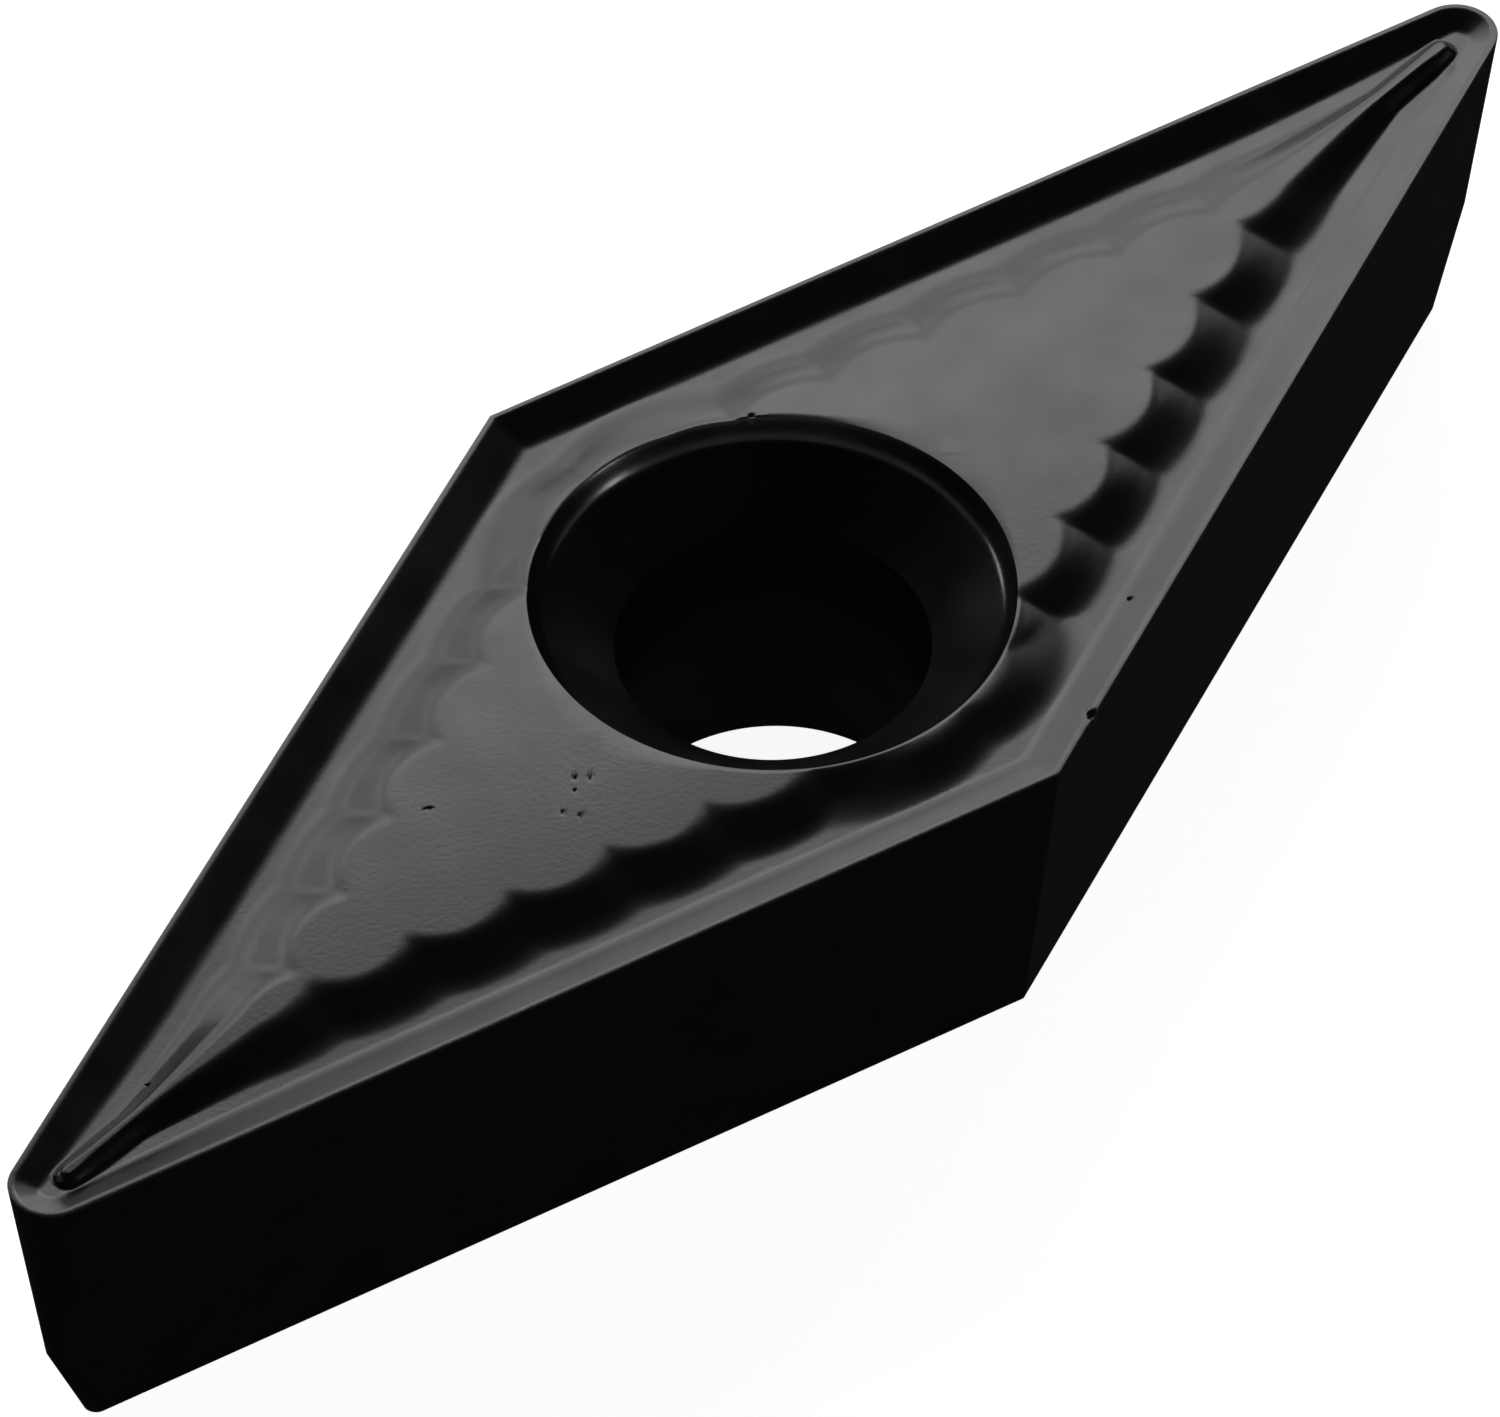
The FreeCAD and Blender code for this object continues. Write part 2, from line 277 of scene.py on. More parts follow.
@dataclass(frozen=True)
class ScallopedWall:
    """Wall of the plateau: lobes in a row along the side, in front of a straight core."""

    crest_setback: float = 1.02
    corner_setback: float = 1.06
    crest_radius: float = 0.77
    core_setback: float = 1.25
    pitch: float = 1.0
    count: int = 8
    slope: float = math.tan(math.radians(20.5))
    growth: float = 6.0
    crease_round: float = 0.012

    def lobes(self, plan: InsertPlan) -> list[Lobe]:
        """List the lobes that show in the quarter.

        Args:
            plan: Plan of the insert.

        Returns:
            The lobes. The first is the one at the obtuse corner, and the last is the
            mirror image of it, which belongs to the next side.
        """
        corner = -(plan.circle_radius - self.crest_setback) * math.tan(plan.half_angle)
        row = []
        for place in range(self.count):
            setback = self.crest_setback if place else self.corner_setback
            back = plan.circle_radius - setback - self.crest_radius
            centre = -plan.inward * back + plan.along * (corner + place * self.pitch)
            row.append(Lobe(centre, plan.inward, self.crest_radius, self.slope, self.growth))
        centre, back = (Vector((-v.x, v.y)) for v in (row[0].centre, row[0].back))
        return [*row, replace(row[0], centre=centre, back=back)]

    def fall(self, place: Vector, depth: float, lobes: Sequence[Lobe]) -> float:
        """Give the fall from the plateau.

        Args:
            place: A place of the quarter, in plan.
            depth: Distance of the place inside the cutting edge.
            lobes: Lobes of the quarter.

        Returns:
            The fall, which is negative on the plateau itself.
        """
        fall = (self.core_setback - depth) * self.slope
        for lobe in lobes:
            fall = smooth_min(fall, lobe.fall(place), self.crease_round)
        return fall


@dataclass(frozen=True)
class NoseRidge:
    """Slim ridge from the plateau to a nose, with a round bulb at its end."""

    root_reach: float = 6.2
    waist_reach: float = 8.3
    bulb_reach: float = 9.08
    root_half_width: float = 0.17
    waist_half_width: float = 0.045
    bulb_radius: float = 0.06
    bulb_length: float = 0.3
    foot_reach: float = 6.02
    foot_half_width: float = 0.73
    waist_foot: float = 0.2
    foot_radius: float = 0.18

    def fall(self, place: Vector, height: float) -> float:
        """Give the fall from the top of the ridge.

        Args:
            place: A place of the quarter, in plan.
            height: Height of the ridge over the floor of the groove.

        Returns:
            The fall, which is negative on the top of the ridge itself.
        """
        past = place.x - self.bulb_reach
        if past > 0:
            run = math.hypot(past, place.y) - self.bulb_radius
            return height * run / (self.foot_radius - self.bulb_radius)
        to_waist = ease(place.x, self.root_reach, self.waist_reach)
        to_bulb = ease(place.x, self.bulb_reach - self.bulb_length, self.bulb_reach)
        half_width = mix(self.root_half_width, self.waist_half_width, to_waist)
        half_width = mix(half_width, self.bulb_radius, to_bulb)
        share = min((place.x - self.foot_reach) / (self.waist_reach - self.foot_reach), 1.0)
        foot = mix(mix(self.foot_half_width, self.waist_foot, share), self.foot_radius, to_bulb)
        return height * (abs(place.y) - half_width) / (foot - half_width)


@dataclass(frozen=True)
class CuttingFace:
    """Height of the whole cutting face over its edges: groove, wall, ridges and plateau.

    A ridge comes out of the plateau over the rise run, past its root. The fillet at the
    foot of the wall starts to turn into the ridge's own by the lead, before its foot.
    """

    plan: InsertPlan
    groove: ChipGroove
    wall: ScallopedWall
    ridge: NoseRidge
    plateau_rise: float
    crown_radius: float = 66.0
    long_crown_radius: float = 1000.0
    crest_round: float = 0.03
    foot_round: float = 0.05
    ridge_foot_round: float = 0.03
    crease_round: float = 0.03
    rise_run: float = 0.4
    lead: float = 0.6

    def height(self, place: Vector, lobes: Sequence[Lobe]) -> float:
        """Give the height of the cutting face over the cutting edge.

        Args:
            place: A place of the quarter, in plan.
            lobes: Lobes of the quarter.

        Returns:
            The height, negative in the groove.
        """
        ridge = self.ridge
        depth = self.plan.depth(place)
        floor = self.groove.height(depth, place.x)
        fall = self.wall.fall(place, depth, lobes)
        if place.x > ridge.foot_reach:
            relief = self.plateau_rise - self.groove.floor(place.x)
            sunk = relief * (1 - ease(place.x, ridge.foot_reach, ridge.root_reach + self.rise_run))
            fall = smooth_min(fall, ridge.fall(place, relief) + sunk, self.crease_round)
        crown = place.y**2 / (2 * self.crown_radius) + place.x**2 / (2 * self.long_crown_radius)
        raised = self.plateau_rise - crown - smooth_max(fall, 0.0, self.crest_round)
        to_ridge = ease(place.x, ridge.foot_reach - self.lead, ridge.waist_reach)
        return smooth_max(floor, raised, mix(self.foot_round, self.ridge_foot_round, to_ridge))


@dataclass(frozen=True)
class ScrewHole:
    """Screw hole: a steep lip, the conical seat of the screw head, and the bore."""

    bore_radius: float
    bore_length: float
    rim_radius: float = 2.165
    seat_radius: float = 2.06
    lip_drop: float = 0.21
    lip_rows: int = 8
    seat_rows: int = 16
    bore_rows: int = 3
    edge_round: float = 0.02
    seat_round: float = 0.05
    row_growth: float = 1.6
    bottom_break: float = 0.03

    @classmethod
    def from_frame(cls) -> "ScrewHole":
        """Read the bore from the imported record's mount.

        Returns:
            The hole, with the radius and length of that mount.
        """
        mounts = {mount["name"]: mount for mount in frame["record"]["mounts"]}
        dims = mounts["screw_bore"]["dims"]
        return cls(dims["r_mm"], dims["length_mm"])

    def surface(self, radius: float, plateau: float) -> float:
        """Give the height of the lip and the seat.

        Args:
            radius: Distance from the axis.
            plateau: Height of the plateau.

        Returns:
            The height over the bottom face.
        """
        lip_slope = self.lip_drop / (self.rim_radius - self.seat_radius)
        lip = plateau - (self.rim_radius - radius) * lip_slope
        seat_drop = plateau - self.lip_drop - self.bore_length
        seat = self.bore_length + (radius - self.bore_radius) * seat_drop / (
            self.seat_radius - self.bore_radius
        )
        return smooth_max(lip, seat, self.seat_round)

    def section(self, rim: float, plateau: float) -> list[tuple[float, float]]:
        """List the rings of the hole from the rim to the bottom face.

        Args:
            rim: Radius of the rim, in the direction of the section.
            plateau: Height of the plateau.

        Returns:
            The radius and the height of each ring.
        """
        lip = [mix(rim, self.seat_radius, row / self.lip_rows) for row in range(self.lip_rows)]
        seat = [
            mix(self.seat_radius, self.bore_radius, (row / self.seat_rows) ** self.row_growth)
            for row in range(self.seat_rows + 1)
        ]
        rings = [(radius, self.surface(radius, plateau)) for radius in lip + seat]
        bore_end = self.bore_length - self.edge_round
        for row in range(self.bore_rows + 1):
            height = mix(bore_end, self.bottom_break, row / self.bore_rows)
            rings.append((self.bore_radius, height))
        rings.append((self.bore_radius + self.bottom_break, 0.0))
        return rings


class WearKind(Enum):
    """Kinds of wear on the one real insert."""

    NICK = "nick"
    PIT = "pit"


@dataclass(frozen=True)
class WearMark:
    """One mark, at its place in plan, in millimetres.

    The dent is a bell curve that has all but run out at the mark's radius.
    """

    kind: WearKind
    reach: float
    height: float
    radius: float
    drop: float


# The mesh is made finer round a mark by this many cuts of each edge.
WEAR_CUTS = {WearKind.PIT: 7, WearKind.NICK: 3}

WEAR_MARKS = (
    WearMark(WearKind.NICK, 0.72, -3.08, 0.06, 0.04),
    WearMark(WearKind.NICK, 1.5, 1.57, 0.04, 0.015),
    WearMark(WearKind.PIT, -7.85, 0.22, 0.035, 0.022),
    WearMark(WearKind.PIT, -3.92, 0.5, 0.025, 0.014),
    WearMark(WearKind.PIT, -2.82, -0.2, 0.024, 0.02),
    WearMark(WearKind.PIT, -2.73, -0.31, 0.028, 0.024),
    WearMark(WearKind.PIT, -2.94, -0.31, 0.02, 0.012),
    WearMark(WearKind.PIT, -3.2, -0.4, 0.02, 0.012),
    WearMark(WearKind.PIT, -3.13, -0.54, 0.024, 0.011),
    WearMark(WearKind.PIT, 2.08, -2.34, 0.028, 0.024),
)


@dataclass
class InsertPiece:
    """The insert itself, one closed piece.

    One quarter is laid out in columns, which run from the cutting edge inwards, over the
    cutting face, down the flank and across the bottom. The edge guards are rows of the
    flank, close to its ends, that keep the shading of the round edges off it. A mark of
    wear reaches the points of the cutting face within its radius times the wear radii.
    The face depth is how far under the cutting edge that face can lie.
    """

    plateau_rise: float = 0.035
    rim_columns: int = 120
    axis_columns: int = 112
    nose_columns: int = 24
    rim_reach: float = 4.8
    fine_reach: float = 1.4
    fine_rows: int = 50
    coarse_rows: int = 8
    hone_turns: tuple[int, ...] = (0, 35, 65, 90)
    land_share: float = 0.75
    edge_guards: tuple[float, float] = (0.05, 0.12)
    rim_tries: int = 12
    bottom_break: float = 0.03
    bottom_share: float = 0.95
    wear_radii: float = 2.5
    least_wear_reach: float = 0.08
    face_depth: float = 0.3

    def __post_init__(self) -> None:
        """Work out the plan, the cutting face, the hole and the columns from the frame."""
        self.plan = InsertPlan.from_frame(self.plateau_rise)
        self.hole = ScrewHole.from_frame()
        self.face = CuttingFace(
            self.plan, ChipGroove(), ScallopedWall(), NoseRidge(), self.plateau_rise
        )
        self.lobes = self.face.wall.lobes(self.plan)
        self.plateau = self.plan.thickness + self.plateau_rise
        self.layout = [self.column(index) for index in range(self.columns + 1)]
        self.top_rows = len(self.row_depths(1.0)) - 1
        self.flank_drops = self.flank_rows()

    @property
    def columns(self) -> int:
        """Count the columns of a quarter."""
        return self.rim_columns + self.axis_columns + self.nose_columns

    def column(self, index: int) -> tuple[float, Vector, float]:
        """Lay out one column of the quarter.

        Args:
            index: Its number, from the obtuse corner to the tip of the nose.

        Returns:
            Its share of the outline, the place where it ends inside, and the radius of
            the hole's rim there, or 0 where it ends on the long diagonal.
        """
        side = self.plan.side_share
        tangent, _ = self.plan.outline(side, 0.0)
        rim_share = side * self.rim_reach / tangent.x
        if index <= self.rim_columns:
            turn = index / self.rim_columns
            angle = math.pi / 2 * (1 - turn)
            direction = Vector((math.cos(angle), math.sin(angle)))
            radius = self.rim_radius(direction)
            return rim_share * turn, direction * radius, radius
        index -= self.rim_columns
        if index <= self.axis_columns:
            turn = index / self.axis_columns
            reach = mix(self.hole.rim_radius, self.face.ridge.bulb_reach, turn)
            return mix(rim_share, side, turn), Vector((reach, 0)), 0.0
        turn = (index - self.axis_columns) / self.nose_columns
        return mix(side, 1.0, turn), Vector((self.face.ridge.bulb_reach, 0)), 0.0

    def rim_radius(self, direction: Vector) -> float:
        """Find where the lip cuts the cutting face.

        Args:
            direction: Direction from the axis of the hole, in plan.

        Returns:
            The radius of the rim in that direction.
        """
        hole = self.hole
        radius = hole.rim_radius
        for _ in range(self.rim_tries):
            height = self.face.height(direction * radius, self.lobes)
            share = (height - self.plateau_rise) / hole.lip_drop
            radius = hole.rim_radius + share * (hole.rim_radius - hole.seat_radius)
        return radius

    def row_depths(self, total: float) -> list[float]:
        """List the distances of the rows from the cutting edge.

        Args:
            total: Distance of the inner end of the column from the edge.

        Returns:
            Close rows over the hone and the land, even ones over the groove and the
            wall, and wider ones over the plateau.
        """
        groove = self.face.groove
        turns = [math.radians(turn) for turn in self.hone_turns]
        hone = [groove.hone_radius * (1 - math.cos(turn)) for turn in turns]
        start = groove.land_width
        rows = self.fine_rows + self.coarse_rows
        reach = min(self.fine_reach, start + (total - start) * self.fine_rows / rows)
        fine = [mix(start, reach, row / self.fine_rows) for row in range(self.fine_rows)]
        coarse = [mix(reach, total, row / self.coarse_rows) for row in range(self.coarse_rows + 1)]
        return hone + [start * self.land_share] + fine + coarse

    def flank_rows(self) -> list[float]:
        """List the rows of the flank.

        Returns:
            The drop of each row below the cutting edge.
        """
        kink = (self.plan.nose_radius - self.plan.foot_radius) / math.tan(self.plan.clearance)
        end = self.plan.thickness - self.bottom_break
        near, far = self.edge_guards
        top = [self.face.groove.hone_radius, near, far]
        return top + [kink / 2, kink, end - far, end, self.plan.thickness]

    def top_place(self, column: int, row: int) -> Vector:
        """Place a point of the cutting face.

        Args:
            column: Number of its column.
            row: Number of its row, from the cutting edge inwards.

        Returns:
            The place.
        """
        share, inner, rim = self.layout[column]
        hone_drop = self.face.groove.hone_radius
        outer, inward = self.plan.outline(share, hone_drop)
        total = (inner - outer).dot(inward)
        depths = self.row_depths(total)
        place = outer.lerp(inner, depths[row] / total)
        if row == 0:
            height = -hone_drop
        else:
            height = self.face.height(place, self.lobes)
        z = self.plan.thickness + height
        if rim:
            z = min(z, smooth_min(z, self.lip_height(place.length), self.hole.edge_round))
        return Vector((place.x, place.y, z))

    def lip_height(self, radius: float) -> float:
        """Give the height of the hole's surface, for rounding the rim."""
        return self.hole.surface(radius, self.plateau)

    def hole_place(self, column: int, row: int) -> Vector:
        """Place a point of the hole's surface.

        Args:
            column: Number of its column.
            row: Number of its ring, from the rim down.

        Returns:
            The place.
        """
        _, inner, rim = self.layout[column]
        direction = inner / rim
        if row == 0:
            return self.top_place(column, self.top_rows)
        radius, height = self.hole.section(rim, self.plateau)[row]
        return Vector((direction.x * radius, direction.y * radius, height))

    def flank_place(self, column: int, row: int) -> Vector:
        """Place a point of the flank.

        Args:
            column: Number of its column.
            row: Number of its row, from the cutting edge down.

        Returns:
            The place.
        """
        share = self.layout[column][0]
        drop = self.flank_drops[row]
        place, inward = self.plan.outline(share, drop)
        if row == len(self.flank_drops) - 1:
            place = place + inward * self.bottom_break
            place = place - self.plan.along * min(place.x / self.plan.along.x, 0.0)
        return Vector((place.x, place.y, self.plan.thickness - drop))

    def bottom_place(self, column: int, row: int) -> Vector:
        """Place a point of the bottom face.

        Args:
            column: Number of its column.
            row: 0 on the outline, and 1 on the bore or the long diagonal.

        Returns:
            The place.
        """
        _, inner, rim = self.layout[column]
        if row == 0:
            return self.flank_place(column, len(self.flank_drops) - 1)
        bore_end = self.hole.bore_radius + self.hole.bottom_break
        inner = inner * (bore_end / rim if rim else self.bottom_share)
        return Vector((inner.x, inner.y, 0.0))

    def patch(
        self, mesh: bmesh.types.BMesh, columns: int, rows: int, place: Callable[[int, int], Vector]
    ) -> None:
        """Add a grid of columns and rows, and move each of its points into place.

        Args:
            mesh: Mesh that gets the grid.
            columns: Number of faces across.
            rows: Number of faces down.
            place: Gives the place of the point at a column and a row.
        """
        grid = bmesh.ops.create_grid(mesh, x_segments=columns, y_segments=rows, size=1.0)
        for vertex in grid["verts"]:
            column = round((vertex.co.x + 1) / 2 * columns)
            row = round((vertex.co.y + 1) / 2 * rows)
            vertex.co = place(column, row)

    def build(self) -> bpy.types.Object:
        """Build the insert as one closed mesh.

        Returns:
            The finished object.
        """
        mesh = bmesh.new()
        self.patch(mesh, self.columns, self.top_rows, self.top_place)
        hole_rows = len(self.hole.section(self.hole.rim_radius, self.plateau)) - 1
        self.patch(mesh, self.rim_columns, hole_rows, self.hole_place)
        self.patch(mesh, self.columns, len(self.flank_drops) - 1, self.flank_place)
        self.patch(mesh, self.columns, 1, self.bottom_place)
        bmesh.ops.remove_doubles(mesh, verts=mesh.verts, dist=MERGE_DISTANCE)
        for axis in ("X", "Y"):
            everything = mesh.verts[:] + mesh.edges[:] + mesh.faces[:]
            bmesh.ops.mirror(mesh, geom=everything, axis=axis, merge_dist=MERGE_DISTANCE)
        bmesh.ops.recalc_face_normals(mesh, faces=mesh.faces)
        self.wear(mesh)
        bmesh.ops.scale(mesh, vec=Vector((MM, MM, MM)), verts=mesh.verts)
        return finish_mesh(mesh, "pressed_insert", crease=SHARP_EDGE)

    def wear(self, mesh: bmesh.types.BMesh) -> None:
        """Press the nicks and the larger pits into the cutting face.

        Args:
            mesh: Closed mesh of the insert, in millimetres.
        """
        for kind, cuts in WEAR_CUTS.items():
            marks = [mark for mark in WEAR_MARKS if mark.kind is kind]
            around = [vertex for mark in marks for vertex in self.top_near(mesh, mark)]
            edges = dict.fromkeys(edge for vertex in around for edge in vertex.link_edges)
            bmesh.ops.subdivide_edges(mesh, edges=list(edges), cuts=cuts, use_grid_fill=True)
        for mark in WEAR_MARKS:
            for vertex in self.top_near(mesh, mark):
                away = math.hypot(vertex.co.x - mark.reach, vertex.co.y - mark.height)
                vertex.co.z -= mark.drop * math.exp(-2 * (away / mark.radius) ** 2)

    def top_near(self, mesh: bmesh.types.BMesh, mark: WearMark) -> list[bmesh.types.BMVert]:
        """List the points of the cutting face that lie close to a mark.

        Args:
            mesh: Mesh of the insert.
            mark: The mark.

        Returns:
            The points in a square round the mark.
        """
        low = self.plan.thickness - self.face_depth
        reach = max(mark.radius * self.wear_radii, self.least_wear_reach)
        return [
            vertex
            for vertex in mesh.verts
            if abs(vertex.co.x - mark.reach) < reach
            and abs(vertex.co.y - mark.height) < reach
            and vertex.co.z > low
        ]


def finish_mesh(mesh: bmesh.types.BMesh, name: str, crease: float) -> bpy.types.Object:
    """Turn a bmesh into an object with smooth faces and sharp creases.

    Args:
        mesh: The finished bmesh, which is freed.
        name: Name of the object and its mesh.
        crease: Least angle between faces at which their edge stays sharp.

    Returns:
        The new object, linked to the scene.
    """
    for face in mesh.faces:
        face.smooth = True
    for edge in mesh.edges:
        edge.smooth = edge.calc_face_angle(math.pi) < crease
    open_edges = sum(edge.is_boundary for edge in mesh.edges)
    log.info("%s: %d faces, %d open edges", name, len(mesh.faces), open_edges)
    data = bpy.data.meshes.new(name)
    mesh.to_mesh(data)
    mesh.free()
    piece = bpy.data.objects.new(name, data)
    bpy.context.scene.collection.objects.link(piece)
    return piece


def linear(colour: str) -> tuple[float, float, float, float]:
    """Turn an sRGB hex colour into the linear numbers that a shader takes.

    Args:
        colour: The colour, as # and six hex digits.

    Returns:
        Its linear red, green and blue, and 1 for opaque.
    """
    channels = [int(colour[place : place + 2], 16) / 255 for place in (1, 3, 5)]
    light = [c / 12.92 if c <= 0.04045 else ((c + 0.055) / 1.055) ** 2.4 for c in channels]
    return (*light, 1.0)


def add_node(
    tree: bpy.types.NodeTree,
    kind: str,
    settings: dict[str, object] | None = None,
    inputs: dict[str | int, object] | None = None,
) -> bpy.types.Node:
    """Add a node to a tree.

    Args:
        tree: Tree that gets the node.
        kind: Type name of the node.
        settings: Its properties by name.
        inputs: Its inputs by name or number: a socket is linked, and a value is set.

    Returns:
        The new node.
    """
    node = tree.nodes.new(kind)
    for name, setting in (settings or {}).items():
        setattr(node, name, setting)
    for name, given in (inputs or {}).items():
        if isinstance(given, bpy.types.NodeSocket):
            tree.links.new(given, node.inputs[name])
        else:
            node.inputs[name].default_value = given
    return node


def new_tree(name: str) -> tuple[bpy.types.Material, bpy.types.NodeTree, bpy.types.Node]:
    """Make a material with nothing but its output node.

    Args:
        name: Name of the material.

    Returns:
        The material, its node tree and the output node.
    """
    material = bpy.data.materials.new(name)
    material.use_nodes = True
    tree = material.node_tree
    tree.nodes.clear()
    return material, tree, tree.nodes.new("ShaderNodeOutputMaterial")


@dataclass(frozen=True)
class CoatedCarbide:
    """Sintered tungsten carbide under a vapour-deposited black coating.

    The coating is a few thousandths of a millimetre thick, so the pressed grain shows
    through it: a satin black with a fine mottle. The real grain is about as fine as the
    coating is thick, and it is drawn coarser here, so that it shows. Sizes are in
    millimetres.
    """

    colour: str = "#0c0c0d"
    worn_colour: str = "#101011"
    roughness: float = 0.24
    roughness_spread: float = 0.03
    grain: float = 0.05
    grain_detail: float = 3.0
    bump_strength: float = 0.08
    bump_depth: float = 0.01
    mottle: float = 0.6
    mottle_detail: float = 4.0
    mottle_range: tuple[float, float] = (0.3, 0.7)
    ior: float = 1.5

    def material(self) -> bpy.types.Material:
        """Build the material.

        Returns:
            The material.
        """
        material, tree, output = new_tree("coated_tungsten_carbide")
        place = add_node(tree, "ShaderNodeTexCoord").outputs["Object"]
        grain, mottle = (
            add_node(
                tree,
                "ShaderNodeTexNoise",
                inputs={"Vector": place, "Scale": 1 / (size * MM), "Detail": detail},
            )
            for size, detail in (
                (self.grain, self.grain_detail),
                (self.mottle, self.mottle_detail),
            )
        )
        tone = add_node(
            tree,
            "ShaderNodeMix",
            {"data_type": "RGBA"},
            {0: mottle.outputs["Fac"], 6: linear(self.colour), 7: linear(self.worn_colour)},
        )
        rough = add_node(
            tree,
            "ShaderNodeMapRange",
            inputs={
                0: mottle.outputs["Fac"],
                1: self.mottle_range[0],
                2: self.mottle_range[1],
                3: self.roughness - self.roughness_spread,
                4: self.roughness + self.roughness_spread,
            },
        )
        bump = add_node(
            tree,
            "ShaderNodeBump",
            inputs={
                "Strength": self.bump_strength,
                "Distance": self.bump_depth * MM,
                "Height": grain.outputs["Fac"],
            },
        )
        shader = add_node(
            tree,
            "ShaderNodeBsdfPrincipled",
            inputs={
                "Base Color": tone.outputs[2],
                "Roughness": rough.outputs[0],
                "IOR": self.ior,
                "Normal": bump.outputs[0],
            },
        )
        tree.links.new(shader.outputs[0], output.inputs[0])
        return material


@dataclass(frozen=True)
class SoftBox:
    """A square-edged soft light that faces the insert.

    Angles are in degrees as seen from the insert, and the azimuth runs from +X to +Y. Each
    tone gives an elevation and the share of the radiance that the light has there. From
    the fade start, a share of its width, the light fades to the side share at the edge
    with the larger azimuth. The distance is in metres.
    """

    name: str
    azimuths: tuple[float, float]
    elevations: tuple[float, float]
    radiance: float
    distance: float
    tones: tuple[tuple[float, float], ...] = ((0.0, 1.0),)
    side_share: float = 1.0
    fade_start: float = 0.7

    @property
    def middle(self) -> float:
        """Give the elevation that the light faces down from."""
        return sum(self.elevations) / 2

    def place(self) -> None:
        """Put the light into the scene."""
        direction = towards(sum(self.azimuths) / 2, self.middle)
        half_width = math.radians(self.azimuths[1] - self.azimuths[0]) / 2
        half_height = math.radians(self.elevations[1] - self.middle)
        data = bpy.data.lights.new(self.name, "AREA")
        data.shape = "RECTANGLE"
        data.size = 2 * self.distance * math.tan(half_width)
        data.size_y = 2 * self.distance * math.tan(half_height)
        data.energy = math.pi * data.size * data.size_y
        self.shade(data)
        light = bpy.data.objects.new(self.name, data)
        turn = direction.to_track_quat("Z", "Y").to_matrix().to_4x4()
        light.matrix_world = Matrix.Translation(direction * self.distance) @ turn
        light.visible_camera = False
        bpy.context.scene.collection.objects.link(light)

    def shade(self, data: bpy.types.AreaLight) -> None:
        """Grade the light from its bottom edge to its top edge, and towards its side.

        Args:
            data: The light, which gets the nodes.
        """
        data.use_nodes = True
        tree = data.node_tree
        tree.nodes.clear()
        place = add_node(tree, "ShaderNodeNewGeometry").outputs["Parametric"]
        split = add_node(tree, "ShaderNodeSeparateXYZ", inputs={0: place})
        ramp = add_node(tree, "ShaderNodeValToRGB", inputs={0: split.outputs["Y"]})
        elements = ramp.color_ramp.elements
        elements.remove(elements[1])
        half = math.tan(math.radians(self.elevations[1] - self.middle))
        for index, (elevation, share) in enumerate(self.tones):
            position = 0.5 + math.tan(math.radians(elevation - self.middle)) / half / 2
            element = elements.new(position) if index else elements[0]
            element.position = position
            element.color = (share, share, share, 1.0)
        strength = add_node(
            tree,
            "ShaderNodeMapRange",
            inputs={
                0: split.outputs["X"],
                1: self.fade_start,
                3: self.radiance,
                4: self.radiance * self.side_share,
            },
        )
        emission = add_node(
            tree,
            "ShaderNodeEmission",
            inputs={"Color": ramp.outputs["Color"], "Strength": strength.outputs[0]},
        )
        output = add_node(tree, "ShaderNodeOutputLight")
        tree.links.new(emission.outputs[0], output.inputs[0])


SOFT_BOXES = (
    SoftBox(
        "back_softbox",
        azimuths=(26, 58),
        elevations=(-30, 50),
        radiance=4.6,
        distance=0.07,
        tones=((-8, 0.28), (5, 0.36), (12, 0.33), (28, 0.38), (36, 0.5), (43, 0.86), (46, 0.92)),
        side_share=0.55,
    ),
    SoftBox("side_softbox", azimuths=(58, 71), elevations=(13, 50), radiance=1.8, distance=0.3),
    SoftBox(
        "far_side_softbox",
        azimuths=(71, 88),
        elevations=(24, 50),
        radiance=1.65,
        distance=0.3,
    ),
    SoftBox("left_card", azimuths=(6, 26), elevations=(14, 41), radiance=1.1, distance=0.3),
    SoftBox("seat_lamp", azimuths=(289, 297), elevations=(9, 19), radiance=14.0, distance=0.3),
    SoftBox("lip_lamp", azimuths=(93, 110), elevations=(5, 11), radiance=7.0, distance=0.3),
    *(
        SoftBox(
            f"fill_softbox_{azimuth}",
            azimuths=(azimuth, azimuth + 40),
            elevations=(12, 32),
            radiance=0.3,
            distance=0.3,
        )
        for azimuth in (120, 160, 200, 240)
    ),
    SoftBox("low_fill_card", azimuths=(300, 332), elevations=(8, 22), radiance=0.4, distance=0.3),
)


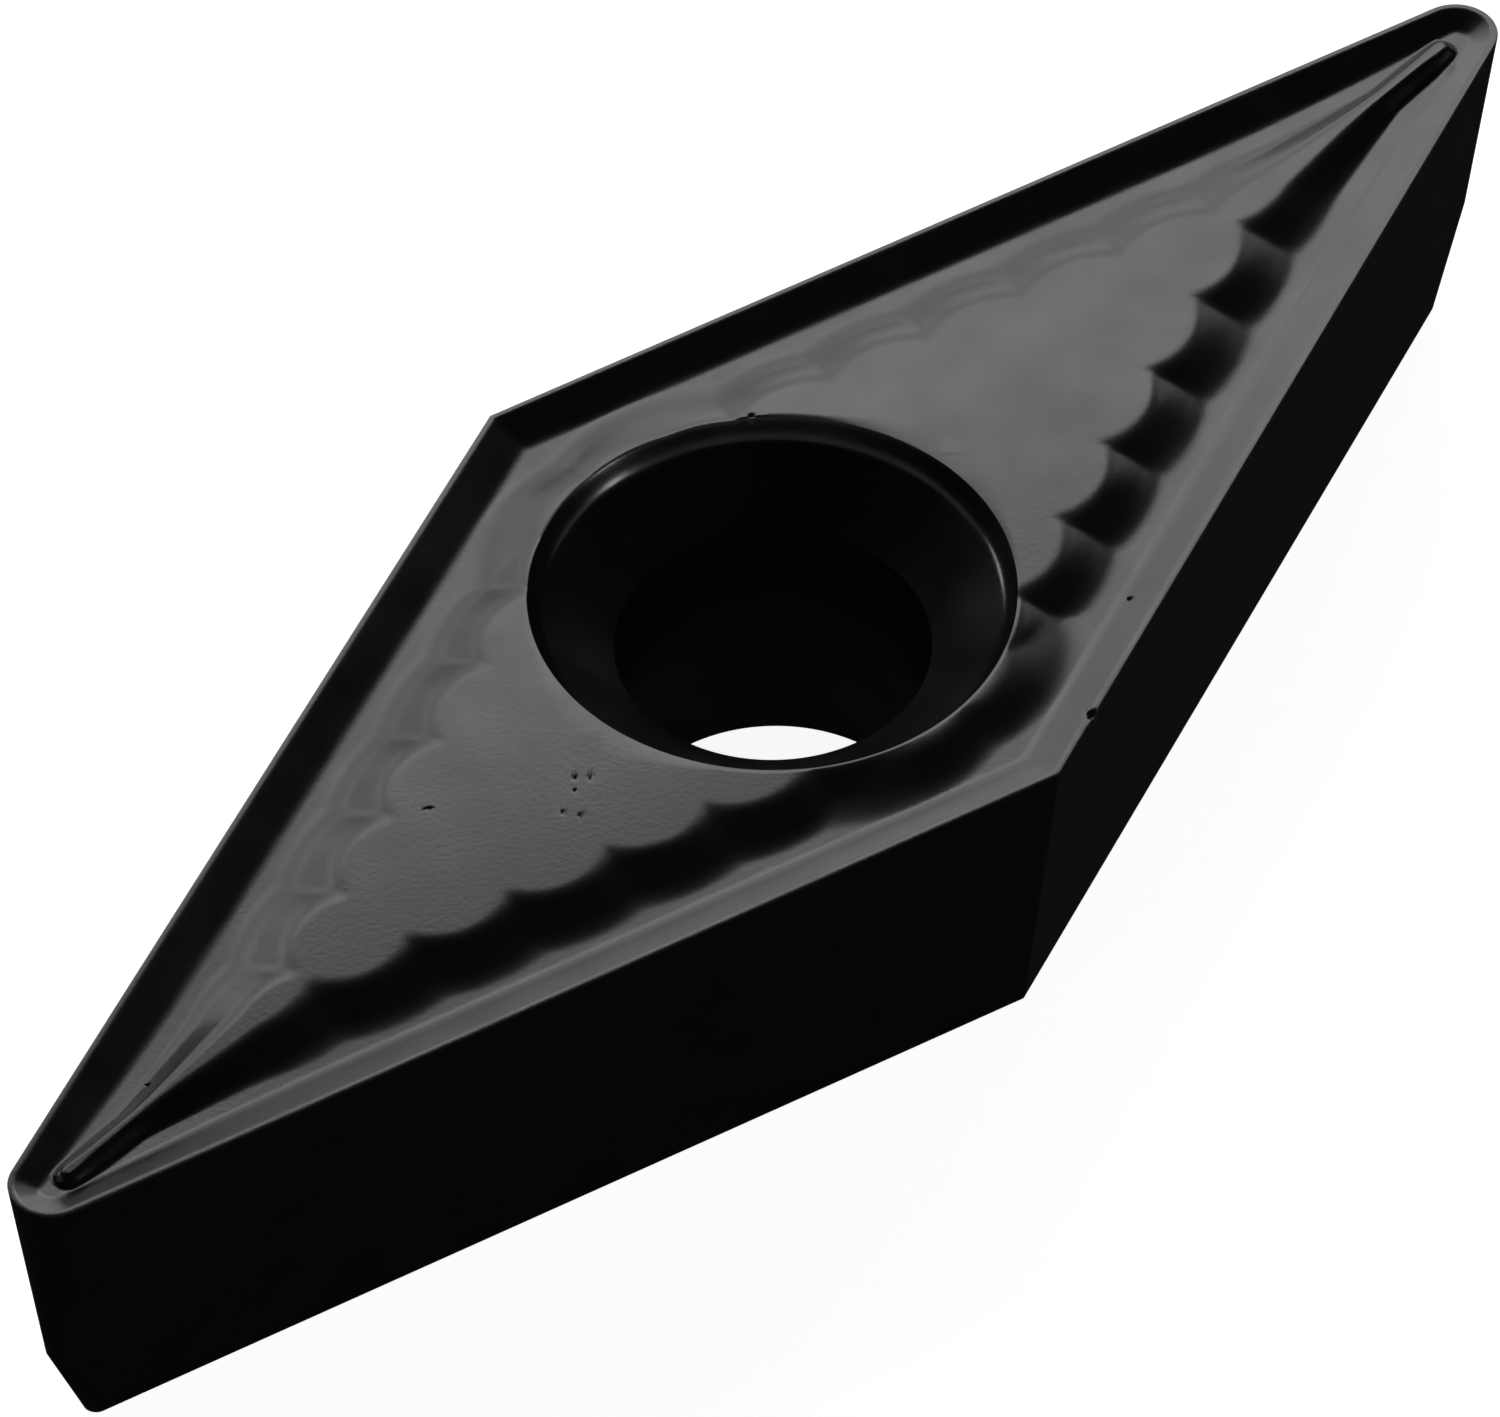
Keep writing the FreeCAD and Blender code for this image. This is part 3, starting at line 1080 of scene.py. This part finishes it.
@dataclass(frozen=True)
class Stage:
    """Plain pale floor and a dark studio around it, which the camera sees as pale.

    The size is in metres, and the low band is two elevations in degrees.
    """

    size: float = 2.0
    floor_colour: str = "#c8c8c6"
    floor_roughness: float = 0.9
    floor_glow: float = 0.93
    studio: float = 0.01
    low_glow: float = 0.4
    low_band: tuple[float, float] = (-34.0, -16.0)

    def build(self) -> None:
        """Build the floor and the world."""
        mesh = bmesh.new()
        bmesh.ops.create_grid(mesh, x_segments=1, y_segments=1, size=self.size / 2)
        floor = finish_mesh(mesh, "pale_floor", crease=math.pi)
        floor.visible_glossy = False
        floor.data.materials.append(self.floor_material())
        self.light_world()

    def floor_material(self) -> bpy.types.Material:
        """Build the floor's matt paint, which glows a little for the camera alone.

        Returns:
            The material.
        """
        material, tree, output = new_tree("matt_floor_paint")
        seen = add_node(tree, "ShaderNodeLightPath").outputs["Is Camera Ray"]
        glow = add_node(
            tree, "ShaderNodeMath", {"operation": "MULTIPLY"}, {0: seen, 1: self.floor_glow}
        )
        shader = add_node(
            tree,
            "ShaderNodeBsdfPrincipled",
            inputs={
                "Base Color": linear(self.floor_colour),
                "Roughness": self.floor_roughness,
                "Specular IOR Level": 0.0,
                "Emission Color": WHITE,
                "Emission Strength": glow.outputs[0],
            },
        )
        tree.links.new(shader.outputs[0], output.inputs[0])
        return material

    def light_world(self) -> None:
        """Make the studio round the floor: white to the camera, dim in light and gloss.

        A faint band below the horizon shows in the gloss of the flanks, from the sides.
        """
        world = bpy.data.worlds.new("studio")
        bpy.context.scene.world = world
        world.use_nodes = True
        tree = world.node_tree
        tree.nodes.clear()
        paths = add_node(tree, "ShaderNodeLightPath").outputs
        direction = add_node(tree, "ShaderNodeTexCoord").outputs["Generated"]
        height = add_node(tree, "ShaderNodeSeparateXYZ", inputs={0: direction}).outputs["Z"]
        angles = sum(self.low_band) / 2, self.low_band[1]
        middle, top = (math.sin(math.radians(angle)) for angle in angles)
        band = add_node(
            tree,
            "ShaderNodeMath",
            {"operation": "COMPARE"},
            {0: height, 1: middle, 2: top - middle},
        )
        glossy = add_node(
            tree,
            "ShaderNodeMath",
            {"operation": "MULTIPLY"},
            {0: band.outputs[0], 1: paths["Is Glossy Ray"]},
        )
        unseen = add_node(
            tree,
            "ShaderNodeMapRange",
            inputs={0: glossy.outputs[0], 3: self.studio, 4: self.low_glow},
        )
        strength = add_node(
            tree,
            "ShaderNodeMapRange",
            inputs={0: paths["Is Camera Ray"], 3: unseen.outputs[0], 4: 1.0},
        )
        background = add_node(
            tree,
            "ShaderNodeBackground",
            inputs={"Color": WHITE, "Strength": strength.outputs[0]},
        )
        output = add_node(tree, "ShaderNodeOutputWorld")
        tree.links.new(background.outputs[0], output.inputs[0])


@dataclass(frozen=True)
class PhotoCamera:
    """Camera at the photograph's viewing angle.

    Angles are in degrees and lengths in millimetres, but for the clip, in metres.
    """

    azimuth: float = 221.96
    elevation: float = 46.221
    roll: float = -0.679
    distance: float = 181.414
    aim: tuple[float, float, float] = (-0.0526, 0.2312, 1.6)
    focal_length: float = 493.445
    sensor_width: float = 36.0
    clip: tuple[float, float] = (0.01, 10.0)

    def place(self) -> None:
        """Put the camera into the scene and make it the active one."""
        back = towards(self.azimuth, self.elevation)
        data = bpy.data.cameras.new("photo_camera")
        data.sensor_fit = "HORIZONTAL"
        data.sensor_width = self.sensor_width
        data.lens = self.focal_length
        data.clip_start, data.clip_end = self.clip
        camera = bpy.data.objects.new("photo_camera", data)
        turn = back.to_track_quat("Z", "Y").to_matrix().to_4x4()
        roll = Matrix.Rotation(math.radians(self.roll), 4, "Z")
        place = Vector(self.aim) + back * self.distance
        camera.matrix_world = Matrix.Translation(place * MM) @ turn @ roll
        bpy.context.scene.collection.objects.link(camera)
        bpy.context.scene.camera = camera


def main() -> None:
    """Build the insert and its studio, and report each piece."""
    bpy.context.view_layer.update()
    insert = InsertPiece().build()
    insert.data.materials.append(CoatedCarbide().material())
    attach(insert, BODY)
    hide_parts(NODE)
    log.info("insert: %d faces", len(insert.data.polygons))
    Stage().build()
    for box in SOFT_BOXES:
        box.place()
        log.info("light: %s", box.name)
    PhotoCamera().place()
    bpy.context.scene.view_settings.view_transform = "Standard"


if __name__ == "__main__":
    main()
